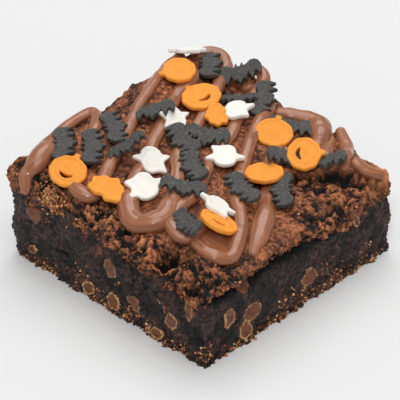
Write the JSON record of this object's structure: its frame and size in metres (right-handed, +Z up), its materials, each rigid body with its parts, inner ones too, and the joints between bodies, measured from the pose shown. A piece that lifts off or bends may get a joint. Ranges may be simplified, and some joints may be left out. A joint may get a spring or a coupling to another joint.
{
  "type": "chocolate brownie",
  "caption": "Square cut of chocolate brownie with a flaky crust, looping milk chocolate drizzle and pressed sugar bats, ghosts and pumpkins scattered on top.",
  "frame": {"origin": "middle of the flat base, where the brownie rests", "axes": "+Z up through the crust, +X and +Y along the square's cut sides, the corner at +X -Y nearest the camera"},
  "size_m": [0.0808, 0.0818, 0.0398],
  "materials": {
    "crumb": "dark, dense, moist chocolate crumb",
    "crust": "thin flaky reddish-brown crust",
    "drizzle": "set milk chocolate, soft gloss",
    "chocolate_chip": "cut milk chocolate chip",
    "black_sugar": "matte pressed sugar, charcoal",
    "orange_sugar": "matte pressed sugar, orange",
    "white_sugar": "matte pressed sugar, white"
  },
  "bodies": {
    "root": {"brownie": "crumb"}
  },
  "joints": []
}
